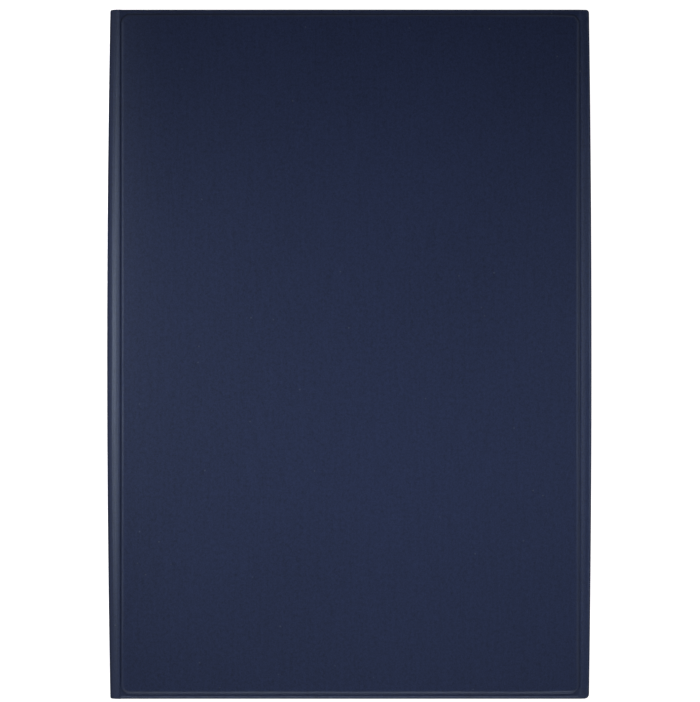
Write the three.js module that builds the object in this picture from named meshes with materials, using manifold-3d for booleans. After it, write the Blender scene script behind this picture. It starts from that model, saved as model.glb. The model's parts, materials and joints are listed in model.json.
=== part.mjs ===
// Tablet keyboard case, closed and lying on its back. Millimetres, +Z up, spine toward -X.
import * as THREE from 'three';
import * as BufferGeometryUtils from 'three/addons/utils/BufferGeometryUtils.js';
import Module from 'manifold-3d';

const LENGTH = 258; // along Y
const WIDTH = 180; // along X, spine to free edge
const HEIGHT = 20;
const HALF_L = LENGTH / 2;
const HALF_W = WIDTH / 2;
const ROLL = 5; // outer radius of the rolled leather at the spine
const SKIN = 0.7;
const GAP = 0.05;
const COVER = 2.4; // thickness of each cover
const HINGE_X = -HALF_W + ROLL; // where the covers end and the rolled leather starts
const FOLD_X = 0; // the stand's fold line
const FOLD_HALF = 2;
const STAND_X0 = -77.5;
const PANEL_STEP = 0.45; // height of the raised front panel
const PANEL = { x0: -84.9, x1: 85.4, y: 126.7, r: 3.2 };
const TRAY = { x0: -84, x1: 88, y: 128.6, z0: 2.45, floor: 1.2, top: 11.2, wall: 1.3, lip: 0.9 };
const KB = { x0: -70, x1: 86, y: 121, face: 13, top: 13.9, z1: 17.5, wall: 1.2 };
const CAMERA = { x: 68, y: 104, w: 26, l: 22, r: 6 };
const HINGES = { low: -72, high: 72 }; // the stand's hinges, along Y
const PIN_Z = 1.55;
const MAGNETS = { low: -70, high: 70 }; // the closure magnets, along Y
const PITCH = 16.4; // key pitch along the keyboard
const KEY_GAP = 2.4; // space between two caps
const HOLE_GAP = 0.35; // clearance between a cap and its hole
const KEY_FACE = 11.6;
const KEY_FOOT = 14;
const FLANGE = 0.5; // how far a cap's foot reaches behind the top case
const ROWS = { fn: -61.8, number: -48, qwerty: -31.6, home: -15.2, bottom: 1.2, space: 17.6 };
const PAD = { x: 56, y: 0, w: 50, l: 100 };
const DECK_X = 29; // keys lie on the spine's side of this line, the touchpad and battery beyond it
const LAMPS = [90, 96, 102];
const SOCKET_X = 36;
const SWITCH_X = 56;

const wasm = await Module();
wasm.setup();
const { Manifold, Mesh } = wasm;

const MATERIALS = {
  leather: { color: 0x2b344c, roughness: 0.6 },
  lining: { color: 0x2a2f3a, roughness: 0.95 },
  board: { color: 0x6b6355, roughness: 0.9 },
  shell: { color: 0x23262e, roughness: 0.5 },
  felt: { color: 0x3a404c, roughness: 1 },
  case_plastic: { color: 0x2a3040, roughness: 0.5 },
  key_plastic: { color: 0x1b1e26, roughness: 0.6 },
  steel: { color: 0x8d9299, roughness: 0.35, metalness: 1 },
  magnet: { color: 0x9aa0a6, roughness: 0.3, metalness: 1 },
  rubber: { color: 0x202226, roughness: 0.9 },
  battery: { color: 0x9a9ea6, roughness: 0.4 },
  circuit: { color: 0x1f4a34, roughness: 0.6 },
  pad_surface: { color: 0x2b3140, roughness: 0.35 },
};
const materials = Object.fromEntries(
  Object.entries(MATERIALS).map(([name, look]) => [name, new THREE.MeshStandardMaterial({ name, ...look })]),
);
const group = new THREE.Group();
group.name = 'tablet_keyboard_case';

function toManifold(geometry) {
  const g = geometry.clone();
  g.deleteAttribute('normal');
  g.deleteAttribute('uv');
  const merged = BufferGeometryUtils.mergeVertices(g, 1e-5);
  return new Manifold(new Mesh({
    numProp: 3,
    vertProperties: new Float32Array(merged.attributes.position.array),
    triVerts: new Uint32Array(merged.index.array),
  }));
}

function toGeometry(solid) {
  const mesh = solid.getMesh();
  const g = new THREE.BufferGeometry();
  g.setAttribute('position', new THREE.BufferAttribute(new Float32Array(mesh.vertProperties), 3));
  g.setIndex(new THREE.BufferAttribute(new Uint32Array(mesh.triVerts), 1));
  g.computeVertexNormals();
  return g;
}

function add(name, shape, material) {
  const geometry = shape.isBufferGeometry ? shape : toGeometry(shape);
  const mesh = new THREE.Mesh(geometry, materials[material]);
  mesh.name = name;
  group.add(mesh);
}

function rectangle(x0, x1, y0, y1, r) {
  const s = new THREE.Shape();
  const k = Math.min(r, (x1 - x0) / 2 - 0.01, (y1 - y0) / 2 - 0.01);
  if (k <= 0) {
    s.moveTo(x0, y0).lineTo(x1, y0).lineTo(x1, y1).lineTo(x0, y1);
    return s;
  }
  s.moveTo(x0 + k, y0).lineTo(x1 - k, y0).absarc(x1 - k, y0 + k, k, -Math.PI / 2, 0, false);
  s.lineTo(x1, y1 - k).absarc(x1 - k, y1 - k, k, 0, Math.PI / 2, false);
  s.lineTo(x0 + k, y1).absarc(x0 + k, y1 - k, k, Math.PI / 2, Math.PI, false);
  s.lineTo(x0, y0 + k).absarc(x0 + k, y0 + k, k, Math.PI, Math.PI * 1.5, false);
  return s;
}

// A plate between two heights, its corners rounded by r.
function plate(x0, x1, y0, y1, z0, z1, r = 0) {
  const g = new THREE.ExtrudeGeometry(rectangle(x0, x1, y0, y1, r), {
    depth: z1 - z0, bevelEnabled: false, curveSegments: 4,
  });
  g.translate(0, 0, z0);
  return toManifold(g);
}

// A plate centred on Y.
function slab(x0, x1, y, z0, z1, r = 0) {
  return plate(x0, x1, -y, y, z0, z1, r);
}

// A section drawn in X and Z, drawn out along Y.
function section(shape, y0, y1) {
  const g = new THREE.ExtrudeGeometry(shape, { depth: y1 - y0, bevelEnabled: false, curveSegments: 10 });
  g.rotateX(Math.PI / 2);
  g.translate(0, y1, 0);
  return toManifold(g);
}

function cylinderY(x, z, r, y0, y1, segments = 16) {
  const g = new THREE.CylinderGeometry(r, r, y1 - y0, segments);
  g.translate(x, (y0 + y1) / 2, z);
  return toManifold(g);
}

// Back cover: the fixed half, the hinged half and the leather between them.
const cameraHole = (spare) => plate(
  CAMERA.x - CAMERA.w / 2 - spare, CAMERA.x + CAMERA.w / 2 + spare,
  CAMERA.y - CAMERA.l / 2 - spare, CAMERA.y + CAMERA.l / 2 + spare, -1, 5, CAMERA.r + spare,
);
const magnetBed = (y) => plate(75.9, 82.1, y - 12.1, y + 12.1, 0.5, 3);
const magnetBeds = Manifold.union(Object.values(MAGNETS).map(magnetBed));
const pocket = (y, x0, x1) => plate(x0, x1, y - 10.1, y + 10.1, 0.7, 2.45);
const pockets = (x0, x1) => Manifold.union(Object.values(HINGES).map((y) => pocket(y, x0, x1)));

add('back_skin', slab(FOLD_HALF, HALF_W, HALF_L, 0, COVER, 1)
  .subtract(slab(0, HALF_W - SKIN, HALF_L - SKIN, SKIN, HEIGHT)).subtract(cameraHole(0)), 'leather');
add('back_board', slab(FOLD_HALF + 0.6, HALF_W - 0.8, HALF_L - 0.8, 0.75, 2.4, 1)
  .subtract(cameraHole(0.6)).subtract(pockets(0, 20.1)).subtract(magnetBeds), 'board');
add('stand_skin', slab(STAND_X0, -FOLD_HALF, HALF_L, 0, COVER, 1)
  .subtract(slab(STAND_X0 + SKIN, 0, HALF_L - SKIN, SKIN, HEIGHT)), 'leather');
add('stand_board', slab(STAND_X0 + 0.8, -FOLD_HALF - 0.6, HALF_L - 0.8, 0.75, 1.95, 1)
  .subtract(pockets(-20.1, 0)), 'board');
add('stand_lining', slab(STAND_X0 + 0.8, -FOLD_HALF - 0.3, HALF_L - 0.8, 2, 2.4, 1)
  .subtract(pockets(-20.1, 0)), 'lining');
add('stand_fold', slab(-FOLD_HALF + GAP, FOLD_HALF - GAP, HALF_L, 0, SKIN), 'leather');

// Stand hinges: a base leaf with its knuckle, and an arm whose pin turns in it.
Object.entries(HINGES).forEach(([side, y]) => {
  const base = plate(0, 20, y - 4, y + 4, 1.2, 1.9)
    .add(plate(4, 20, y - 10, y + 10, 1.2, 1.9))
    .add(cylinderY(0, PIN_Z, 0.8, y - 4, y + 4))
    .subtract(cylinderY(0, PIN_Z, 0.48, y - 5, y + 5));
  add(`hinge_base_${side}`, base, 'steel');
  const arm = plate(-20, -2.2, y - 10, y + 10, 1.2, 1.9)
    .add(plate(-4, 0, y - 8, y - 4.3, 1.2, 1.9))
    .add(plate(-4, 0, y + 4.3, y + 8, 1.2, 1.9))
    .add(cylinderY(0, PIN_Z, 0.75, y - 8, y - 4.3))
    .add(cylinderY(0, PIN_Z, 0.75, y + 4.3, y + 8))
    .add(cylinderY(0, PIN_Z, 0.43, y - 8, y + 8));
  add(`hinge_arm_${side}`, arm, 'steel');
});

// Tray for the tablet.
const bay = { x0: TRAY.x0 + TRAY.wall, x1: TRAY.x1 - TRAY.wall, y: TRAY.y - TRAY.wall };
const trayFloor = TRAY.z0 + TRAY.floor;
const lipZ = TRAY.top - 0.8;
const portSlot = plate(-8, 8, -HALF_L, -HALF_L + 6, 4.4, 9.8);
const buttonSlot = plate(60, HALF_W, 40, 92, 4.6, 9.8);
const speakerSlots = [[-62, -34], [34, 62]].flatMap(([x0, x1]) => [
  plate(x0, x1, -HALF_L, -HALF_L + 6, 5, 9.4),
  plate(x0, x1, HALF_L - 6, HALF_L, 5, 9.4),
]);
const tray = slab(TRAY.x0, TRAY.x1, TRAY.y, TRAY.z0, TRAY.top, 8)
  .subtract(slab(bay.x0, bay.x1, bay.y, trayFloor, lipZ, 7))
  .subtract(slab(bay.x0 + TRAY.lip, bay.x1 - TRAY.lip, bay.y - TRAY.lip, trayFloor, HEIGHT, 6.2))
  .subtract(Manifold.union([cameraHole(0), portSlot, buttonSlot, ...speakerSlots]));
add('tray_shell', tray, 'shell');
add('tray_liner', slab(bay.x0 + 2, bay.x1 - 2, bay.y - 2, trayFloor + GAP, trayFloor + 0.35, 5)
  .subtract(cameraHole(1)), 'felt');
add('anchor_strip', slab(HINGE_X + GAP, STAND_X0 - 0.5, HALF_L, 0, COVER), 'leather');
Object.entries(MAGNETS).forEach(([side, y]) => {
  add(`closure_magnet_${side}`, plate(76, 82, y - 12, y + 12, 0.8, 2.3), 'magnet');
});

// Spine: a stiff strip between two rolls of leather.
const rollShape = (z, side) => {
  const from = side > 0 ? Math.PI / 2 : Math.PI * 1.5;
  const s = new THREE.Shape();
  s.absarc(HINGE_X, z, ROLL, from + side * 0.01, Math.PI - side * 0.01, side < 0);
  s.absarc(HINGE_X, z, ROLL - SKIN, Math.PI - side * 0.01, from + side * 0.01, side > 0);
  return s;
};
add('hinge_leather_front', section(rollShape(HEIGHT - ROLL, 1), -HALF_L, HALF_L), 'leather');
add('hinge_leather_back', section(rollShape(ROLL, -1), -HALF_L, HALF_L), 'leather');
add('spine_skin', slab(-HALF_W, -HALF_W + SKIN, HALF_L, ROLL, HEIGHT - ROLL), 'leather');
add('spine_board', slab(-HALF_W + SKIN + GAP, -87.9, HALF_L - 1, ROLL + 0.5, HEIGHT - ROLL - 0.5), 'board');
add('spine_lining', slab(-87.85, -87.45, HALF_L - 0.5, ROLL + 0.3, HEIGHT - ROLL - 0.3), 'lining');

// Front cover: its skin is turned down over the three free edges.
const coverZ = HEIGHT - COVER;
const flangeZ = HEIGHT - PANEL_STEP;
const frontSkin = slab(HINGE_X + GAP, HALF_W, HALF_L, coverZ, flangeZ, 1)
  .add(slab(PANEL.x0, PANEL.x1, PANEL.y, flangeZ - 0.2, HEIGHT, PANEL.r))
  .subtract(slab(HINGE_X - 1, HALF_W - SKIN, HALF_L - SKIN, coverZ - 1, flangeZ - SKIN))
  .subtract(slab(PANEL.x0 - 2, PANEL.x1 - SKIN, PANEL.y - SKIN, coverZ - 1, HEIGHT - SKIN, 2));
add('front_skin', frontSkin, 'leather');
const innerX = HALF_W - SKIN - GAP;
const innerY = HALF_L - SKIN - GAP;
const strips = { rear: -60, fore: 60 }; // steel strips that hold the keyboard, along X
const stripHole = (x) => slab(x - 4.1, x + 4.1, 90.1, 17.9, 19);
const frontBoard = slab(HINGE_X + 0.6, innerX, innerY, 18.05, flangeZ - SKIN - GAP)
  .add(slab(HINGE_X + 0.6, PANEL.x1 - SKIN - GAP, PANEL.y - SKIN - GAP, 18.5, HEIGHT - SKIN - GAP, 2))
  .subtract(Manifold.union(Object.values(strips).map(stripHole)));
add('front_board', frontBoard, 'board');
add('front_lining', slab(HINGE_X + 0.3, innerX, innerY, coverZ, 18), 'lining');
Object.entries(strips).forEach(([place, x]) => {
  add(`magnet_strip_${place}`, slab(x - 4, x + 4, 90, 18.1, 18.9), 'steel');
});

// Keyboard: keys face down onto the tablet while the case is closed.
function keyRect(x, y, w, l, spare) {
  return [x - w / 2 - spare, x + w / 2 + spare, y - l / 2 - spare, y + l / 2 + spare];
}

const rowWidths = {
  fn: Array(14).fill(14.5 / 14),
  number: [...Array(13).fill(1), 1.5],
  qwerty: [1.5, ...Array(13).fill(1)],
  home: [1.75, ...Array(11).fill(1), 1.75],
  bottom: [2.25, ...Array(10).fill(1), 2.25],
  space: [1, 1, 1, 1.25, 5, 1.25, 1, 1, 1, 1],
};
const singles = {
  fn: { 0: 'esc' },
  number: { 13: 'backspace' },
  qwerty: { 0: 'tab' },
  home: { 0: 'caps', 12: 'enter' },
  bottom: { 0: 'shift_l', 11: 'shift_r' },
  space: ['ctrl', 'fn', 'alt_l', 'cmd_l', 'space', 'cmd_r', 'left', 'up', 'down', 'right'],
};
const rowDepth = (row) => (row === 'fn' ? 8.6 : PITCH - KEY_GAP);

// Every key as {name, x, y, w, l}; the caps of a letter row share one name.
const keys = [];
Object.entries(rowWidths).forEach(([row, widths]) => {
  const total = widths.reduce((a, b) => a + b, 0);
  let at = -total / 2;
  widths.forEach((u, i) => {
    const single = singles[row][i];
    keys.push({
      name: single ? `key_${single}` : `keys_${row}_row`,
      x: ROWS[row],
      y: -(at + u / 2) * PITCH,
      w: rowDepth(row),
      l: u * PITCH - KEY_GAP,
    });
    at += u;
  });
});

function cap(k) {
  const outline = rectangle(...keyRect(k.x, k.y, k.w, k.l, -0.4), 1);
  const block = new THREE.ExtrudeGeometry(outline, {
    depth: KEY_FOOT - KEY_FACE - 0.7,
    bevelThickness: 0.4,
    bevelSize: 0.4,
    bevelSegments: 1,
    curveSegments: 1,
  });
  block.translate(0, 0, KEY_FACE + 0.4);
  const foot = plate(...keyRect(k.x, k.y, k.w, k.l, FLANGE), KEY_FOOT, KEY_FOOT + 0.25);
  return toManifold(block).add(foot);
}

const names = [...new Set(keys.map((k) => k.name))];
names.forEach((name) => {
  const own = keys.filter((k) => k.name === name);
  let solid = own.map(cap).reduce((a, b) => a.add(b));
  if (own.length > 1) {
    const ys = own.map((k) => k.y);
    const web = [own[0].x - 2, own[0].x + 2, Math.min(...ys), Math.max(...ys)];
    solid = solid.add(plate(...web, KEY_FOOT, KEY_FOOT + 0.25)); // joins the caps of a row
  }
  add(name, solid, 'key_plastic');
});

const holes = keys.map((k) => plate(...keyRect(k.x, k.y, k.w, k.l, HOLE_GAP), KB.face - 1, KB.top + 1));
const padHole = plate(...keyRect(PAD.x, PAD.y, PAD.w, PAD.l, 0.3), KB.face - 1, KB.top + 1);
const lampPins = (r, z0) => LAMPS.map((y) => plate(82.5 - r, 82.5 + r, y - r, y + r, z0, 14.3, r));
const inner = { x0: KB.x0 + KB.wall, x1: KB.x1 - KB.wall, y: KB.y - KB.wall };
add('top_case', slab(inner.x0 + GAP, inner.x1 - GAP, inner.y - GAP, KB.face, KB.top, 3)
  .subtract(Manifold.union([...holes, padHole, ...lampPins(0.7, 12.9)])), 'case_plastic');
const socketCut = plate(SOCKET_X - 0.1, SOCKET_X + 9.1, KB.y - 6, KB.y + 1, 14.05, 16.55);
const switchCut = plate(SWITCH_X, SWITCH_X + 10, KB.y - 3, KB.y + 1, 14.4, 16.2);
add('bottom_case', slab(KB.x0, KB.x1, KB.y, KB.face - 0.1, KB.z1, 4)
  .subtract(slab(inner.x0, inner.x1, inner.y, KB.face - 1, KB.z1 - 0.9, 3))
  .subtract(socketCut).subtract(switchCut), 'case_plastic');
add('membrane', slab(KB.x0 + 2, DECK_X - 2, KB.y - 3, 15.5, 15.9, 2), 'rubber');
add('support_plate', slab(KB.x0 + 2, DECK_X - 1, KB.y - 2, 15.95, 16.45, 2), 'steel');
add('battery', plate(34, 79, 56, 110, 14.1, 16.5, 1), 'battery');
add('controller_board', plate(40, 76, -112, -62, 15, 16, 1), 'circuit');
const socket = plate(SOCKET_X, SOCKET_X + 9, KB.y - 8, KB.y, 14.1, 16.5, 1)
  .subtract(plate(SOCKET_X + 0.6, SOCKET_X + 8.4, KB.y - 7, KB.y + 1, 14.55, 16.05, 0.7));
add('usb_c_socket', socket, 'steel');
const lightBar = plate(80.5, 84.2, 87, 105, 14, 14.6);
add('status_lights', Manifold.union([lightBar, ...lampPins(0.6, 13.1)]), 'pad_surface');
const slider = plate(SWITCH_X + 0.5, SWITCH_X + 4.5, KB.y - 2.8, KB.y + 0.6, 14.5, 16.1, 0.4);
add('power_switch', slider, 'case_plastic');
const padFace = plate(...keyRect(PAD.x, PAD.y, PAD.w, PAD.l, 0), KB.face + 0.05, 14, 2);
const padFlange = plate(...keyRect(PAD.x, PAD.y, PAD.w, PAD.l, 0.9), 13.95, 14.6);
add('touchpad', padFace.add(padFlange), 'pad_surface');
Object.entries({ low: -112, high: 112 }).forEach(([side, y]) => {
  add(`keyboard_magnet_${side}`, plate(27, 32, y - 4, y + 4, 14.1, 15.3), 'magnet');
});

export default group;
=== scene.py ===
import json
import math

import bmesh
import bpy
import numpy as np
from mathutils import Matrix, Vector


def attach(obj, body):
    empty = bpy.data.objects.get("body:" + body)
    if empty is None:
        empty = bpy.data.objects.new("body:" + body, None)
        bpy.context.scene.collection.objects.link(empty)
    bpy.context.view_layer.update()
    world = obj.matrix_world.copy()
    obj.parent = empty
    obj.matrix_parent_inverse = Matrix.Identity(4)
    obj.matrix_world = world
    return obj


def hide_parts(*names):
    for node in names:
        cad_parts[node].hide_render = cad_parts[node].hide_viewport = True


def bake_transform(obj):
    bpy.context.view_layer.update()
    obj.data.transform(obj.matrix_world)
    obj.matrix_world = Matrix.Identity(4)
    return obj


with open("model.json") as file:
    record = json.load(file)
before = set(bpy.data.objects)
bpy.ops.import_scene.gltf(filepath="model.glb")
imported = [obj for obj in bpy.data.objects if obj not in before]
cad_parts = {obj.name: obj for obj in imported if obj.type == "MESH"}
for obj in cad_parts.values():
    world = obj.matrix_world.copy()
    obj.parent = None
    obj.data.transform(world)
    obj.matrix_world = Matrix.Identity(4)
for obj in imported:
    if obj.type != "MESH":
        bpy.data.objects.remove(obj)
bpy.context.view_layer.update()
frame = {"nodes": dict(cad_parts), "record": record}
nodes = frame["nodes"]

# ---------------------------------------------------------------- sizes, in millimetres
MM = 0.001
HALF_W, HALF_L, HEIGHT = 90.0, 129.0, 20.0
FOOT_X = -85.6  # where the front cover meets the rolled leather
PANEL = (-85.1, 85.55, 126.75, 3.2)  # x0, x1, half length, corner radius
FLANGE_DROP = 0.5  # how far the flange lies below the panel
GROOVE_AT, GROOVE_DEPTH = 0.45, 0.22  # the pressed line at the foot of the panel
ROLL_REACH_X, ROLL_REACH_Y = 0.9, 1.2  # width of the rolled free edges
BOW_FROM, BOW_TO = 85.4, 89.4  # only the leather outside the foot line bows
HEM = ((0.05, 17.83), (0.15, 17.78), (0.4, 17.74), (1.2, 17.72), (9.0, 17.72), (9.3, 17.84))  # inset, z
LEATHER = 0.7


# ---------------------------------------------------------------- materials
class Nodes:
    """A short way to build a material's node tree."""

    def __init__(self, name):
        self.mat = bpy.data.materials.new(name)
        self.mat.use_nodes = True
        self.tree = self.mat.node_tree
        self.bsdf = next(n for n in self.tree.nodes if n.type == "BSDF_PRINCIPLED")

    def put(self, kind, **values):
        node = self.tree.nodes.new(kind)
        for key, value in values.items():
            if key.startswith("in_"):
                node.inputs[key[3:].replace("_", " ")].default_value = value
            else:
                setattr(node, key, value)
        return node

    def link(self, a, b):
        self.tree.links.new(a, b)

    def vector(self, scale):
        """Rest coordinates of the surface, scaled along each axis."""
        rest = self.put("ShaderNodeAttribute", attribute_name="rest")
        mapping = self.put("ShaderNodeMapping")
        mapping.inputs["Scale"].default_value = scale
        self.link(rest.outputs["Vector"], mapping.inputs["Vector"])
        return mapping.outputs["Vector"]

    def noise(self, scale, detail=2.0, rough=0.5):
        node = self.put("ShaderNodeTexNoise", in_Scale=1.0, in_Detail=detail, in_Roughness=rough)
        self.link(self.vector(scale), node.inputs["Vector"])
        return node.outputs["Fac"]

    def cells(self, scale, feature="F1"):
        node = self.put("ShaderNodeTexVoronoi", feature=feature, in_Scale=1.0)
        self.link(self.vector(scale), node.inputs["Vector"])
        return node.outputs["Distance"]

    def fit(self, value, a0, a1, b0, b1):
        node = self.put("ShaderNodeMapRange")
        for key, number in zip(("From Min", "From Max", "To Min", "To Max"), (a0, a1, b0, b1)):
            node.inputs[key].default_value = number
        self.link(value, node.inputs["Value"])
        return node.outputs["Result"]

    def math(self, operation, a, b):
        node = self.put("ShaderNodeMath", operation=operation)
        for value, socket in ((a, node.inputs[0]), (b, node.inputs[1])):
            if isinstance(value, (int, float)):
                socket.default_value = value
            else:
                self.link(value, socket)
        return node.outputs[0]

    def mix(self, factor, a, b):
        node = self.put("ShaderNodeMix", data_type="RGBA")
        for value, socket in ((factor, node.inputs[0]), (a, node.inputs[6]), (b, node.inputs[7])):
            if isinstance(value, (int, float)):
                socket.default_value = value
            elif isinstance(value, tuple):
                socket.default_value = (*value, 1)
            else:
                self.link(value, socket)
        return node.outputs[2]

    def bump(self, height, strength, distance, under=None):
        node = self.put("ShaderNodeBump", in_Strength=strength, in_Distance=distance)
        self.link(height, node.inputs["Height"])
        if under is not None:
            self.link(under, node.inputs["Normal"])
        return node.outputs["Normal"]

    def finish(self, color=None, rough=None, normal=None, **fixed):
        for value, key in ((color, "Base Color"), (rough, "Roughness"), (normal, "Normal")):
            if value is None:
                continue
            if isinstance(value, tuple):
                self.bsdf.inputs[key].default_value = (*value, 1)
            elif isinstance(value, (int, float)):
                self.bsdf.inputs[key].default_value = value
            else:
                self.link(value, self.bsdf.inputs[key])
        for key, value in fixed.items():
            self.bsdf.inputs[key.replace("_", " ")].default_value = value
        return self.mat


def leather(name, base, worn):
    """Fine-grained synthetic leather: small pebbles, faint lengthwise brushing, rubbed edges, a painted
    highlight along the lower end and painted shade in the pressed groove.
    """
    n = Nodes(name)
    pebble = n.cells((2600, 2300, 2600), "SMOOTH_F1")
    pores = n.noise((5200, 5200, 5200), 2.0, 0.6)
    brushed = n.noise((900, 55, 900), 3.0, 0.6)
    grain = n.noise((1000, 720, 1000), 2.0, 0.6)
    cloudy = n.noise((14, 11, 14), 2.0, 0.5)
    speck = n.cells((130, 130, 130))
    wear_and_highlight = n.put("ShaderNodeAttribute", attribute_name="wear_and_highlight").outputs["Fac"]
    tone = n.math("ADD", n.fit(brushed, 0.25, 0.75, -0.13, 0.13), n.fit(cloudy, 0.3, 0.7, -0.07, 0.07))
    tone = n.math("ADD", tone, n.fit(pebble, 0.1, 0.7, 0.26, -0.34))
    tone = n.math("ADD", tone, n.fit(grain, 0.25, 0.75, -0.22, 0.22))
    dark = tuple(c * 0.62 for c in base)
    light = tuple(c * 1.38 for c in base)
    color = n.mix(n.math("ADD", tone, 0.5), dark, light)
    # The worn tone marks real rubbing on edges and folds, and also serves as the painted highlight at the
    # front cover's lower end.
    rubbed = n.math("MULTIPLY", wear_and_highlight, n.fit(pores, 0.35, 0.7, 0.15, 1.0))
    color = n.mix(rubbed, color, worn)
    # Painted shade: the leather is darkened along the pressed groove, where the groove's shadow would fall.
    painted_groove_shade = n.put("ShaderNodeAttribute", attribute_name="painted_groove_shade").outputs["Fac"]
    color = n.mix(n.math("MULTIPLY", painted_groove_shade, 0.55), color, tuple(c * 0.3 for c in base))
    color = n.mix(n.fit(speck, 0.02, 0.05, 0.3, 0.0), color, (0.16, 0.17, 0.20))
    rough = n.math("ADD", n.fit(pores, 0.3, 0.7, 0.38, 0.48), n.fit(wear_and_highlight, 0, 1, 0.0, -0.05))
    normal = n.bump(pebble, 0.35, 0.00006)
    normal = n.bump(brushed, 0.12, 0.00005, normal)
    normal = n.bump(cloudy, 0.25, 0.0006, normal)
    return n.finish(color, rough, normal, Specular_IOR_Level=0.5,
                    Specular_Tint=(0.72, 0.84, 1.0, 1))


def microfibre(name, base):
    """Short-napped suede lining."""
    n = Nodes(name)
    nap = n.noise((3200, 2600, 3200), 3.0, 0.65)
    cloudy = n.noise((45, 30, 45), 3.0, 0.55)
    tone = n.math("ADD", n.fit(nap, 0.3, 0.7, 0.2, 0.8), n.fit(cloudy, 0.3, 0.7, -0.12, 0.12))
    color = n.mix(tone, tuple(c * 0.7 for c in base), tuple(c * 1.35 for c in base))
    normal = n.bump(nap, 0.5, 0.00012)
    return n.finish(color, 0.94, normal, Specular_IOR_Level=0.2, Sheen_Weight=0.35, Sheen_Roughness=0.6)


def plastic(name, base, rough, grain=0.00002, spec=0.45):
    """Moulded plastic with a fine spark-eroded texture and slight handling marks."""
    n = Nodes(name)
    spark = n.noise((4200, 4200, 4200), 2.0, 0.6)
    smear = n.noise((60, 38, 60), 4.0, 0.6)
    color = n.mix(smear, tuple(c * 0.86 for c in base), tuple(c * 1.14 for c in base))
    value = n.fit(smear, 0.3, 0.7, rough - 0.06, rough + 0.07)
    return n.finish(color, value, n.bump(spark, 0.3, grain), Specular_IOR_Level=spec)


def metal(name, base, rough, stretch=(3000, 60, 3000)):
    """Brushed metal."""
    n = Nodes(name)
    lines = n.noise(stretch, 3.0, 0.6)
    color = n.mix(lines, tuple(c * 0.85 for c in base), tuple(min(1, c * 1.1) for c in base))
    value = n.fit(lines, 0.3, 0.7, rough - 0.06, rough + 0.1)
    return n.finish(color, value, n.bump(lines, 0.15, 0.00001), Metallic=1.0)


def circuit(name):
    """Green solder mask with faint tracks."""
    n = Nodes(name)
    tracks = n.cells((320, 320, 320), "DISTANCE_TO_EDGE")
    color = n.mix(n.fit(tracks, 0.04, 0.07, 1, 0), (0.012, 0.07, 0.03), (0.05, 0.2, 0.08))
    return n.finish(color, 0.4, n.bump(tracks, 0.2, 0.00005))


NAVY = (0.0165, 0.0255, 0.0745)
M = {
    "leather": leather("navy_leather", NAVY, (0.060, 0.068, 0.095)),
    "lining": microfibre("lining_microfibre", (0.055, 0.062, 0.088)),
    "felt": microfibre("tray_felt", (0.085, 0.092, 0.112)),
    "shell": plastic("tray_plastic", (0.028, 0.032, 0.046), 0.46),
    "case_plastic": plastic("keyboard_plastic", (0.030, 0.038, 0.070), 0.44),
    "key_plastic": plastic("key_plastic", (0.018, 0.021, 0.033), 0.50),
    "pad_surface": plastic("touchpad_surface", (0.040, 0.048, 0.078), 0.37, 0.000006, 0.5),
    "rubber": plastic("dome_rubber", (0.02, 0.02, 0.022), 0.8),
    "board": plastic("grey_board", (0.035, 0.038, 0.048), 0.9),
    "battery": plastic("battery_pouch", (0.35, 0.36, 0.38), 0.37),
    "steel": metal("brushed_steel", (0.52, 0.53, 0.55), 0.36),
    "magnet": metal("plated_magnet", (0.62, 0.63, 0.66), 0.36, (900, 900, 900)),
    "circuit": circuit("circuit_board"),
    "legend": plastic("legend_print", (0.80, 0.81, 0.84), 0.55, 0.000004, 0.3),
    "lamp": plastic("lamp_lens", (0.55, 0.62, 0.58), 0.36, 0.000004, 0.5),
}


# ---------------------------------------------------------------- mesh helpers
def make_object(name, points, faces, slots, wear_and_highlight=None, face_slots=None, merge=2e-6, painted_groove_shade=None):
    """A smooth mesh from points in millimetres, with the attributes that its materials read."""
    mesh = bpy.data.meshes.new(name)
    mesh.from_pydata([tuple(c * MM for c in p) for p in points], [], faces)
    if face_slots is not None:
        mesh.polygons.foreach_set("material_index", face_slots)
    for key, values in (("wear_and_highlight", wear_and_highlight), ("painted_groove_shade", painted_groove_shade)):
        if values is not None:
            layer = mesh.attributes.new(key, "FLOAT", "POINT")
            layer.data.foreach_set("value", np.asarray(values, np.float32))
    obj = bpy.data.objects.new(name, mesh)
    bpy.context.scene.collection.objects.link(obj)
    clean(obj, merge)
    for slot in slots:
        mesh.materials.append(M[slot])
    return obj


def clean(obj, merge):
    bm = bmesh.new()
    bm.from_mesh(obj.data)
    bmesh.ops.remove_doubles(bm, verts=bm.verts, dist=merge)
    bmesh.ops.dissolve_degenerate(bm, edges=bm.edges, dist=1e-7)
    bmesh.ops.recalc_face_normals(bm, faces=bm.faces)
    for face in bm.faces:
        face.smooth = True
    bm.to_mesh(obj.data)
    bm.free()
    store_rest(obj)


def store_rest(obj):
    mesh = obj.data
    layer = mesh.attributes.get("rest") or mesh.attributes.new("rest", "FLOAT_VECTOR", "POINT")
    co = np.zeros(len(mesh.vertices) * 3, np.float32)
    mesh.vertices.foreach_get("co", co)
    layer.data.foreach_set("vector", co)


def apply_modifiers(obj):
    depsgraph = bpy.context.evaluated_depsgraph_get()
    mesh = bpy.data.meshes.new_from_object(obj.evaluated_get(depsgraph))
    obj.modifiers.clear()
    obj.data = mesh
    return obj


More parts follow.
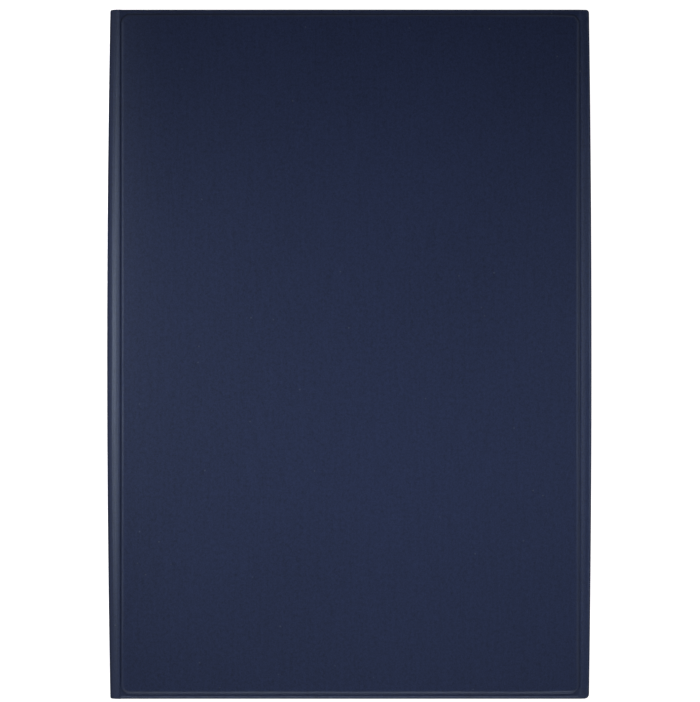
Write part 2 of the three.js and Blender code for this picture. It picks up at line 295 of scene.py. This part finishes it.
def refined(name, source, slot, width, segments=2, body=None):
    """The CAD node's shape with its faces joined, its edges rounded and a real material."""
    obj = bpy.data.objects.new(name, nodes[source].data.copy())
    bpy.context.scene.collection.objects.link(obj)
    bm = bmesh.new()
    bm.from_mesh(obj.data)
    bmesh.ops.remove_doubles(bm, verts=bm.verts, dist=1e-6)
    edges = [e for e in bm.edges if e.is_manifold and e.calc_face_angle(0) < 0.01]
    bmesh.ops.dissolve_edges(bm, edges=edges, use_verts=True)
    bm.to_mesh(obj.data)
    bm.free()
    bevel = obj.modifiers.new("bevel", "BEVEL")
    bevel.width = width * MM
    bevel.segments = segments
    bevel.limit_method = "ANGLE"
    bevel.angle_limit = math.radians(40)
    apply_modifiers(obj)
    obj.data.materials.clear()
    obj.data.materials.append(M[slot])
    obj.data.shade_smooth()
    obj.data.set_sharp_from_angle(angle=math.radians(40))
    weighted = obj.modifiers.new("weighted", "WEIGHTED_NORMAL")
    weighted.keep_sharp = True
    weighted.weight = 100
    apply_modifiers(obj)
    wear_on_edges(obj)
    store_rest(obj)
    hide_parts(source)
    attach(obj, body or body_of(source))
    return obj


def body_of(node):
    return next(b for b, own in frame["record"]["behaviour"]["bodies"].items() if node in own)


def wear_on_edges(obj):
    """Marks points on rounded convex edges, for the rubbed look of leather."""
    bm = bmesh.new()
    bm.from_mesh(obj.data)
    values = [min(1.0, max(0.0, v.calc_shell_factor() - 1.0) * 3.0) for v in bm.verts]
    bm.free()
    layer = obj.data.attributes.get("wear_and_highlight") or obj.data.attributes.new("wear_and_highlight", "FLOAT", "POINT")
    layer.data.foreach_set("value", np.asarray(values, np.float32))


def smooth_step(a, b, x):
    t = np.clip((x - a) / (b - a), 0, 1)
    return t * t * (3 - 2 * t)


def rounded_distance(x, y, cx, cy, half_x, half_y, radius):
    """Signed distance to a rounded rectangle, negative inside."""
    qx = np.abs(x - cx) - (half_x - radius)
    qy = np.abs(y - cy) - (half_y - radius)
    outside = np.hypot(np.maximum(qx, 0), np.maximum(qy, 0))
    return outside + np.minimum(np.maximum(qx, qy), 0) - radius


def waves(x, y, seed):
    """Smooth, seeded undulation between about -1 and 1."""
    rng = np.random.default_rng(seed)
    total = np.zeros_like(x)
    for k in range(7):
        fx, fy = rng.normal(0, 0.045, 2)
        total += np.sin(fx * x + fy * y + rng.uniform(0, 6.3)) / 3.2
    return total


def bow(x, y):
    """The long edges bow out a little between the corners."""
    crown = 1 - (y / HALF_L) ** 2
    push = np.where(x > 0, 0.95 * crown - 0.25, 1.2 * crown - 0.35)
    return x + np.sign(x) * push * smooth_step(BOW_FROM, BOW_TO, np.abs(x))


def ramp(start, stop, fine, coarse, edge):
    """Positions that are close together near both ends and far apart between."""
    low = list(np.arange(start, start + edge, fine))
    high = list(np.arange(stop, stop - edge, -fine))[::-1]
    count = max(2, int((high[0] - low[-1]) / coarse))
    return np.array(low + list(np.linspace(low[-1], high[0], count + 1)[1:-1]) + high)


# ---------------------------------------------------------------- front cover
def panel_distance(x, y):
    """Signed distance to the raised panel's outline, negative on the panel."""
    x0, x1, half_y, radius = PANEL
    return rounded_distance(x, y, (x0 + x1) / 2, 0, (x1 - x0) / 2, half_y, radius)


def foot_groove(step):
    """The line pressed into the leather at the foot of the panel, from 0 to 1."""
    return np.exp(-(((step - GROOVE_AT) / np.where(step < GROOVE_AT, 0.27, 0.34)) ** 2))


def edge_roll(x, y):
    """How far the leather has turned over the board's edge, from 0 to 1, and the roll's height there."""
    side = np.clip(1 - (HALF_W - x) / ROLL_REACH_X, 0, 1)
    end = np.clip(1 - (HALF_L - np.abs(y)) / ROLL_REACH_Y, 0, 1)
    return np.minimum(np.hypot(side, end), 1.0), 1.1 - 0.45 * side


def corner_pleats(x, y):
    """Small folds where the leather is gathered at the outer corners."""
    away = np.hypot(np.maximum(np.abs(x) - 84.5, 0), np.maximum(np.abs(y) - 124.5, 0))
    angle = np.arctan2(np.abs(y) - 122.5, np.maximum(np.abs(x) - 82.5, 0.01))
    return np.sin(angle * 13 + np.sign(y) * 1.3) * 0.07 * smooth_step(3.2, 5.6, away)


def rounded_corners(x, y):
    """Pulls the free corners in to a tight radius, as folded leather sits."""
    radius = np.where(y > 0, 1.3, 1.9)
    over_x = np.maximum(x - (HALF_W - radius), 0)
    over_y = np.maximum(np.abs(y) - (HALF_L - radius), 0)
    length = np.hypot(over_x, over_y)
    shrink = np.where(length > radius, radius / np.maximum(length, 1e-9), 1.0)
    at_corner = (over_x > 0) & (over_y > 0)
    new_x = np.where(at_corner, HALF_W - radius + over_x * shrink, x)
    new_y = np.where(at_corner, np.sign(y) * (HALF_L - radius + over_y * shrink), y)
    return new_x, new_y


def cover_wear_and_highlight(x, y, step, roll):
    """Rubbed places on the rolled edges and the panel's lip, plus a painted highlight along the lower end.
    """
    worn = roll**3 * 0.8 + 1.1 * np.exp(-(((step + 0.35) / 0.4) ** 2))
    worn = worn * (0.22 + 0.2 * waves(x * 3, y * 3, 8))
    # Painted highlight: the lower end is lightened evenly, as if lit from below.
    lower_end_highlight = 0.7 * np.exp(-(((step + 0.1) / 0.35) ** 2)) + 0.3 * smooth_step(0.3, 0.6, step)
    return np.clip(worn + lower_end_highlight * smooth_step(-124.5, -126.3, y), 0, 1)


def add_hem(points, faces, wear_and_highlight, painted_groove_shade, rim):
    """Turns the leather in under the board, ring by ring, and closes it."""
    ring, count = rim, len(rim)
    for inset, height in HEM:
        new = []
        for k in rim:
            px, py, _ = points[k]
            hem_x = min(px, HALF_W + 0.9 - inset) if px > 60 else px
            new.append(len(points))
            points.append((hem_x, max(-HALF_L + inset, min(HALF_L - inset, py)), height))
            wear_and_highlight.append(0.15 if inset < 0.5 else 0.0)
            painted_groove_shade.append(0.0)
        faces += [(ring[k], new[k], new[(k + 1) % count], ring[(k + 1) % count]) for k in range(count)]
        ring = new
    faces.append(tuple(reversed(ring)))


def front_cover():
    """Leather drawn over the board: raised panel, pressed foot line, rolled free edges, turned-in hem."""
    xs = ramp(FOOT_X, HALF_W, 0.22, 7.0, 6.2)
    ys = ramp(-HALF_L, HALF_L, 0.22, 7.0, 6.4)
    x, y = np.meshgrid(xs, ys, indexing="ij")
    step = panel_distance(x, y)
    groove = foot_groove(step)
    roll, roll_height = edge_roll(x, y)
    drop = FLANGE_DROP * smooth_step(-0.45, 0.3, step)
    drop += GROOVE_DEPTH * groove
    drop += 0.62 * (1 - np.exp(-np.maximum(x - 86.0, 0) / 1.8))
    drop += roll_height * (1 - np.sqrt(np.maximum(1 - roll**2, 0)))
    drop += 0.035 * waves(x, y, 3) * smooth_step(0, -6, step)
    drop += corner_pleats(x, y)
    new_x, new_y = rounded_corners(x, y)
    n, m = x.shape
    points = [tuple(p) for p in np.stack([bow(new_x, new_y), new_y, HEIGHT - drop], -1).reshape(-1, 3)]
    # This mask holds both the rubbed places and the painted highlight at the lower end.
    wear_and_highlight = list(cover_wear_and_highlight(x, y, step, roll).reshape(-1))
    # Painted shade for the groove: strongest at the top end and faintest at the lower end, as light from
    # below would leave it.
    painted_groove_shade = list((groove * np.where(y < -124, 0.4, np.where(y > 124, 1.6, 1.0))).reshape(-1))
    faces = [
        (i * m + j, (i + 1) * m + j, (i + 1) * m + j + 1, i * m + j + 1)
        for i in range(n - 1) for j in range(m - 1)
    ]
    rim = [i * m for i in range(n)] + [(n - 1) * m + j for j in range(1, m)]
    rim += [i * m + m - 1 for i in range(n - 2, -1, -1)] + [j for j in range(m - 2, 0, -1)]
    add_hem(points, faces, wear_and_highlight, painted_groove_shade, rim)
    obj = make_object("front_cover_leather", points, faces, ["leather"], wear_and_highlight, painted_groove_shade=painted_groove_shade)
    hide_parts("front_skin", "front_board")
    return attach(obj, "front_cover")


def rounded_panel(name, x0, x1, half_y, z_back, z_face, radius, slot, edge):
    """A lining panel with softly rolled edges, its face toward z_face."""
    points, faces, last = [], [], None
    toward = 1 if z_face > z_back else -1
    height = abs(z_face - z_back)
    rows = ((0.0, 0.0), (0.0, 0.5), (edge * 0.3, 0.85), (edge, 1.0), (3.0, 1.0), (12.0, 1.0))
    for inset, share in rows:
        loop = []
        r = max(0.3, radius - inset)
        z = z_back + toward * height * share
        for cx, cy, a0 in ((x1, half_y, 0), (x0, half_y, 90), (x0, -half_y, 180), (x1, -half_y, 270)):
            mx = cx - math.copysign(inset + r, cx - (x0 + x1) / 2)
            my = cy - math.copysign(inset + r, cy)
            for k in range(7):
                a = math.radians(a0 + 15 * k)
                loop.append(len(points))
                points.append((mx + r * math.cos(a), my + r * math.sin(a), z))
        if last:
            faces += [(last[k], last[(k + 1) % 28], loop[(k + 1) % 28], loop[k]) for k in range(28)]
        else:
            faces.append(tuple(reversed(loop)))
        last = loop
    faces.append(tuple(last))
    return make_object(name, points, faces, [slot])


# ---------------------------------------------------------------- rolled leather strips
def strip(name, profile, thick, seed, creases):
    """A closed strip along the case that follows a profile in X and Z, leather outside, lining inside."""
    profile = np.array(profile, float)
    tangent = np.gradient(profile, axis=0)
    tangent /= np.linalg.norm(tangent, axis=1)[:, None]
    normal = np.stack([tangent[:, 1], -tangent[:, 0]], 1)
    ys = ramp(-HALF_L, HALF_L, 0.25, 3.5, 1.6)
    count, rows = len(profile), len(ys)
    share = np.linspace(0, 1, count)
    outer, inner, wear_and_highlight = [], [], []
    for y in ys:
        end = max(0.0, 1 - (HALF_L - abs(y)) / 0.9)
        tuck = thick * 0.42 * (1 - math.sqrt(max(0.0, 1 - min(end, 1.0) ** 2)))
        fold = creases * np.sin(share * 37 + 0.6 * np.sin(y / 17 + seed)) * np.sin(share * math.pi)
        a = profile + normal * (fold - tuck)[:, None]
        b = profile - normal * (thick - tuck)
        for source, store in ((a, outer), (b, inner)):
            along = np.full(count, y)
            store.extend(zip(bow(source[:, 0], along), along, source[:, 1]))
        wear_and_highlight.extend(np.clip(0.08 + 0.5 * np.abs(fold) / max(creases, 1e-6) * 0.5 + 0.5 * end, 0, 1))
    points = outer + inner
    wear_and_highlight = wear_and_highlight + [0.0] * len(inner)
    k = len(outer)
    faces, slots = [], []
    for j in range(rows - 1):
        for i in range(count - 1):
            a = j * count + i
            faces.append((a, a + 1, a + count + 1, a + count))
            slots.append(0)
            faces.append((k + a, k + a + count, k + a + count + 1, k + a + 1))
            slots.append(1)
    for j in range(rows - 1):
        for i in (0, count - 1):
            a = j * count + i
            faces.append((a, a + count, k + a + count, k + a))
            slots.append(0)
    for j in (0, rows - 1):
        for i in range(count - 1):
            a = j * count + i
            faces.append((a, a + 1, k + a + 1, k + a))
            slots.append(0)
    return make_object(name, points, faces, ["leather", "lining"], wear_and_highlight, slots)


def arc(cx, cz, rx, rz, a0, a1, count=22):
    angles = np.radians(np.linspace(a0, a1, count))
    return [(cx + rx * math.cos(a), cz + rz * math.sin(a)) for a in angles]


def spine():
    """The two rolled folds, the stiff back of the spine and the stand's fold line."""
    front = [
        (FOOT_X - (HALF_W + FOOT_X) * math.sin(a) ** 0.9, 15.0 + 4.42 * math.cos(a) ** 0.85)
        for a in np.linspace(0, math.pi / 2, 26)
    ]
    front_fold = strip("fold_leather_front", front, LEATHER, 1, 0.035)
    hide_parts("hinge_leather_front")
    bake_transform(front_fold)
    back = arc(-85.0, 5.0, 5.0, 5.0, 180, 270)
    back_fold = strip("fold_leather_back", back, LEATHER, 2, 0.035)
    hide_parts("hinge_leather_back")
    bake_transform(back_fold)
    side = [(-90.0 - 0.22 * math.sin(math.pi * t), 15.0 - 10.0 * t) for t in np.linspace(0, 1, 14)]
    skin = strip("spine_leather", side, LEATHER, 3, 0.0)
    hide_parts("spine_skin")
    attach(skin, "spine")
    refined("spine_inner_lining", "spine_lining", "lining", 0.12)
    groove = [(x, 0.32 * math.exp(-((x / 0.9) ** 2))) for x in np.linspace(-2.0, 2.0, 17)]
    fold = strip("stand_fold_leather", groove, LEATHER, 4, 0.0)
    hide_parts("stand_fold")
    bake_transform(fold)


# ---------------------------------------------------------------- keys
PITCH, CAP_GAP, FN_DEPTH = 16.4, 2.4, 8.6
FACE_Z, FOOT_Z = 11.6, 14.2
PRINT_HALF = 0.012  # half the thickness of the print
ROW_X = {"fn": -61.8, "number": -48.0, "qwerty": -31.6, "home": -15.2, "bottom": 1.2, "space": 17.6}
LAYOUT = {
    "fn": ["esc"] + [f"F{k}" for k in range(1, 13)] + ["del"],
    "number": list("`1234567890-=") + ["delete"],
    "qwerty": ["tab"] + list("QWERTYUIOP[]\\"),
    "home": ["caps"] + list("ASDFGHJKL;'") + ["enter"],
    "bottom": ["shift"] + list("ZXCVBNM,./") + ["shift "],
    "space": ["ctrl", "fn", "alt", "cmd", "", "cmd ", "left", "up", "down", "right"],
}
UNITS = {
    "fn": [14.5 / 14] * 14,
    "number": [1] * 13 + [1.5],
    "qwerty": [1.5] + [1] * 13,
    "home": [1.75] + [1] * 11 + [1.75],
    "bottom": [2.25] + [1] * 10 + [2.25],
    "space": [1, 1, 1, 1.25, 5, 1.25, 1, 1, 1, 1],
}
OWN_NODE = {  # a label that ends in a space is the right-hand key of its pair
    "esc": "esc", "delete": "backspace", "tab": "tab", "caps": "caps", "enter": "enter",
    "shift": "shift_l", "shift ": "shift_r", "ctrl": "ctrl", "fn": "fn", "alt": "alt_l",
    "cmd": "cmd_l", "cmd ": "cmd_r", "": "space",
    "left": "left", "up": "up", "down": "down", "right": "right",
}
SHIFTED = dict(zip("`1234567890-=[]\;',./", "~!@#$%^&*()_+{}|:\"<>?"))
ARROWS = {"left": 180, "right": 0, "up": 90, "down": 270}


def cap_shape(points, faces, x, y, w, l):
    """A key cap with a rounded skirt and a shallow dish, its face down."""
    last = None
    rings = (  # how far the outline is spread, its height and its corner radius
        (0.5, FOOT_Z, 0.8), (0.5, FOOT_Z - 0.22, 0.8), (0.0, FOOT_Z - 0.24, 1.0),
        (-0.02, FACE_Z + 0.55, 1.2), (-0.12, FACE_Z + 0.2, 1.35), (-0.34, FACE_Z + 0.04, 1.4),
        (-0.7, FACE_Z, 1.4),
        (-1.6, FACE_Z + 0.05, 1.6), (-0.22 * min(w, l) - 0.6, FACE_Z + 0.17, 1.2),
        (-0.36 * min(w, l) - 0.6, FACE_Z + 0.24, 0.6),
    )
    for spare, z, radius in rings:
        hw, hl = w / 2 + spare, l / 2 + spare
        r = min(radius, hw - 0.05, hl - 0.05)
        loop = []
        for sx, sy, a0 in ((1, 1, 0), (-1, 1, 90), (-1, -1, 180), (1, -1, 270)):
            for k in range(5):
                a = math.radians(a0 + 22.5 * k)
                loop.append(len(points))
                points.append((x + sx * (hw - r) + r * math.cos(a), y + sy * (hl - r) + r * math.sin(a), z))
        if last:
            faces.extend((last[k], loop[k], loop[(k + 1) % 20], last[(k + 1) % 20]) for k in range(20))
        else:
            faces.append(tuple(loop))
        last = loop
    faces.append(tuple(reversed(last)))


def text_mesh(text, size, x, y, align="CENTER"):
    """Printed characters, read from the face side with the function row at the top."""
    curve = bpy.data.curves.new("legend", "FONT")
    curve.body = text
    curve.size = size * MM
    curve.align_x = align
    curve.align_y = "CENTER"
    curve.extrude = PRINT_HALF * MM
    curve.resolution_u = 2
    temp = bpy.data.objects.new("legend", curve)
    bpy.context.scene.collection.objects.link(temp)
    mesh = bpy.data.meshes.new_from_object(temp.evaluated_get(bpy.context.evaluated_depsgraph_get()))
    bpy.data.objects.remove(temp)
    turn = Matrix(((0, -1, 0, x * MM), (-1, 0, 0, y * MM), (0, 0, -1, 0), (0, 0, 0, 1)))
    mesh.transform(turn)
    return mesh


def arrow_mesh(angle, x, y):
    """A printed triangle that points along angle as the keyboard is read."""
    a = math.radians(angle)
    base = [(1.5, 0), (-0.9, 1.3), (-0.9, -1.3)]
    turned = [(px * math.cos(a) - py * math.sin(a), px * math.sin(a) + py * math.cos(a)) for px, py in base]
    flat = [(x - v, y - u) for u, v in turned]
    mesh = bpy.data.meshes.new("arrow")
    points = [(px * MM, py * MM, z * MM) for z in (-PRINT_HALF, PRINT_HALF) for px, py in flat]
    mesh.from_pydata(points, [], [(0, 1, 2), (5, 4, 3), (0, 3, 4, 1), (1, 4, 5, 2), (2, 5, 3, 0)])
    return mesh


def legend_parts(label, x, y, w, l):
    """The flat print for one cap."""
    if label in ARROWS:
        return [arrow_mesh(ARROWS[label], x, y)]
    if label in SHIFTED:
        return [text_mesh(label, 4.3, x + 2.8, y), text_mesh(SHIFTED[label], 3.8, x - 2.9, y)]
    if len(label.strip()) == 1:
        return [text_mesh(label, 5.4, x, y)]
    if label.startswith("F"):
        return [text_mesh(label, 3.7, x, y)]
    if not label.strip():
        return []
    if l > 16:
        return [text_mesh(label.strip(), 3.7, x + w / 2 - 3.6, y + l / 2 - 2.2, "LEFT")]
    return [text_mesh(label.strip(), 3.6, x, y)]


def draped(mesh, x, y, w, l):
    """Lays flat print on a cap's dished face."""
    small = min(w, l)
    for v in mesh.vertices:
        inset = min(w / 2 - abs(v.co.x / MM - x), l / 2 - abs(v.co.y / MM - y))
        depth = np.interp(inset, [0.7, 1.6, 0.22 * small + 0.6, 0.36 * small + 0.6], [0, 0.05, 0.17, 0.24])
        v.co.z += (FACE_Z + depth - 0.004) * MM
    return mesh


def add_print(node, meshes):
    """Joins one key node's print into a piece that rides on the key."""
    bm = bmesh.new()
    for mesh in meshes:
        bm.from_mesh(mesh)
        bpy.data.meshes.remove(mesh)
    mesh = bpy.data.meshes.new(node + "_print")
    bm.to_mesh(mesh)
    bm.free()
    obj = bpy.data.objects.new(node + "_print", mesh)
    bpy.context.scene.collection.objects.link(obj)
    mesh.materials.append(M["legend"])
    store_rest(obj)
    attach(obj, node + "_body")


def keys():
    caps, prints = {}, {}
    for row, units in UNITS.items():
        at = -sum(units) / 2
        for label, unit in zip(LAYOUT[row], units):
            own = OWN_NODE.get(label)
            node = f"key_{own}" if own else f"keys_{row}_row"
            x, y = ROW_X[row], -(at + unit / 2) * PITCH
            w, l = (FN_DEPTH if row == "fn" else PITCH - CAP_GAP), unit * PITCH - CAP_GAP
            points, faces = caps.setdefault(node, ([], []))
            cap_shape(points, faces, x, y, w, l)
            meshes = legend_parts(label, x, y, w, l)
            prints.setdefault(node, []).extend(draped(mesh, x, y, w, l) for mesh in meshes)
            at += unit
    for node, (points, faces) in caps.items():
        obj = make_object(node + "_cap", points, faces, ["key_plastic"], merge=1e-7)
        obj.data.set_sharp_from_angle(angle=math.radians(50))
        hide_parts(node)
        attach(obj, node + "_body")
        if prints[node]:
            add_print(node, prints[node])


# ---------------------------------------------------------------- assembly
front_cover()
lining = rounded_panel("front_lining_panel", -83.5, 86.0, 125.0, 17.9, 17.6, 3.0, "lining", 0.2)
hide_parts("front_lining")
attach(lining, "front_cover")
spine()
refined("back_leather", "back_skin", "leather", 0.55, 4)
refined("stand_leather", "stand_skin", "leather", 0.55, 4)
refined("anchor_leather", "anchor_strip", "leather", 0.3, 3)
refined("stand_inner_lining", "stand_lining", "lining", 0.15)
refined("tablet_tray", "tray_shell", "shell", 0.28, 3)
refined("tray_felt_liner", "tray_liner", "felt", 0.1)
refined("keyboard_bottom", "bottom_case", "case_plastic", 0.45, 3)
refined("keyboard_top", "top_case", "case_plastic", 0.14, 2)
refined("keyboard_touchpad", "touchpad", "pad_surface", 0.16, 3)
refined("keyboard_socket", "usb_c_socket", "steel", 0.1)
refined("keyboard_switch", "power_switch", "case_plastic", 0.15)
refined("keyboard_lamps", "status_lights", "lamp", 0.08)
for side in ("low", "high"):
    refined(f"stand_hinge_base_{side}", f"hinge_base_{side}", "steel", 0.06)
    refined(f"stand_hinge_arm_{side}", f"hinge_arm_{side}", "steel", 0.06)
keys()

# Inner solids keep their CAD shape and take a finished material.
for part in frame["record"]["subparts"]:
    node = nodes[part["node"]]
    if not node.hide_render:
        node.data.materials.clear()
        node.data.materials.append(M[part["material_slot"]])


# ---------------------------------------------------------------- stage, light and camera
FLOOR_Z = -0.095  # clear of the stand when it is open
FLOOR_REACH = 300
SKY_LOW, SKY_HORIZON, SKY_TOP = 0.10, 0.78, 0.02
SKY_LIFT = 0.04  # carries the pale horizon a little below level
CAMERA_PLACE = (0.00026, 0.00121, 1.6)
VIEW_WIDTH = 0.2625  # metres across the frame at the height of the front cover


def stage():
    floor_mat = Nodes("floor_white")
    floor_mat.finish((0.86, 0.86, 0.86), 0.9, None, Specular_IOR_Level=0.1)
    floor_mat.bsdf.inputs["Emission Color"].default_value = (1, 1, 1, 1)
    floor_mat.bsdf.inputs["Emission Strength"].default_value = 0.95
    corners = [(sx * FLOOR_REACH, sy * FLOOR_REACH, 0) for sx, sy in ((-1, -1), (1, -1), (1, 1), (-1, 1))]
    mesh = bpy.data.meshes.new("floor")
    mesh.from_pydata(corners, [], [(0, 1, 2, 3)])
    floor = bpy.data.objects.new("floor", mesh)
    bpy.context.scene.collection.objects.link(floor)
    mesh.materials.append(floor_mat.mat)
    floor.location.z = FLOOR_Z
    floor.visible_glossy = False
    floor.visible_diffuse = False


def lamp(name, place, target, size, size_y, power, spread):
    """A small rectangular lamp, aimed at target, its spread in degrees."""
    data = bpy.data.lights.new(name, "AREA")
    data.spread = math.radians(spread)
    data.shape = "RECTANGLE"
    data.size, data.size_y, data.energy = size, size_y, power
    obj = bpy.data.objects.new(name, data)
    bpy.context.scene.collection.objects.link(obj)
    obj.location = place
    obj.rotation_euler = (Vector(target) - Vector(place)).to_track_quat("-Z", "Y").to_euler()


def sky():
    """Pale near the horizon and dark overhead, so that leather seen from above stays a deep navy."""
    world = bpy.data.worlds.new("world")
    bpy.context.scene.world = world
    world.use_nodes = True
    tree = world.node_tree
    background = next(n for n in tree.nodes if n.type == "BACKGROUND")
    background.inputs["Strength"].default_value = 1.0
    direction = tree.nodes.new("ShaderNodeTexCoord")
    parts = tree.nodes.new("ShaderNodeSeparateXYZ")
    lift = tree.nodes.new("ShaderNodeMath")
    lift.inputs[1].default_value = SKY_LIFT
    grading = tree.nodes.new("ShaderNodeValToRGB")
    tree.links.new(direction.outputs["Generated"], parts.inputs[0])
    tree.links.new(parts.outputs["Z"], lift.inputs[0])
    tree.links.new(lift.outputs[0], grading.inputs["Fac"])
    tree.links.new(grading.outputs["Color"], background.inputs["Color"])
    between = (
        (0.002, SKY_HORIZON), (0.08, SKY_HORIZON * 0.9), (0.16, SKY_HORIZON * 0.62),
        (0.49, SKY_HORIZON * 0.55), (0.84, SKY_TOP * 1.6),
    )
    stops = grading.color_ramp.elements
    for stop, level in ((stops[0], SKY_LOW), (stops[1], SKY_TOP)):
        stop.color = (level, level, level * 1.04, 1)
    for place, level in between:
        stops.new(place).color = (level, level, level * 1.04, 1)


def camera():
    data = bpy.data.cameras.new("camera")
    data.sensor_width = 36
    data.lens = data.sensor_width * (CAMERA_PLACE[2] - HEIGHT * MM) / VIEW_WIDTH
    obj = bpy.data.objects.new("camera", data)
    bpy.context.scene.collection.objects.link(obj)
    obj.location = CAMERA_PLACE
    bpy.context.scene.camera = obj
    bpy.context.scene.view_settings.view_transform = "Standard"


stage()
lamp("left", (-0.36, 0.0, 0.46), (-0.035, 0.0, 0), 0.12, 0.14, 0.064, 40)
lamp("right", (0.38, -0.01, 0.46), (0.04, -0.01, 0), 0.12, 0.14, 0.036, 40)
lamp("beside", (-0.30, 0.09, 0.55), (-0.265, 0.09, 0), 0.15, 0.15, 0.30, 27)
lamp("near", (0.0, -0.44, 0.40), (0, -0.06, 0), 0.3, 0.12, 0.08, 45)
sky()
camera()
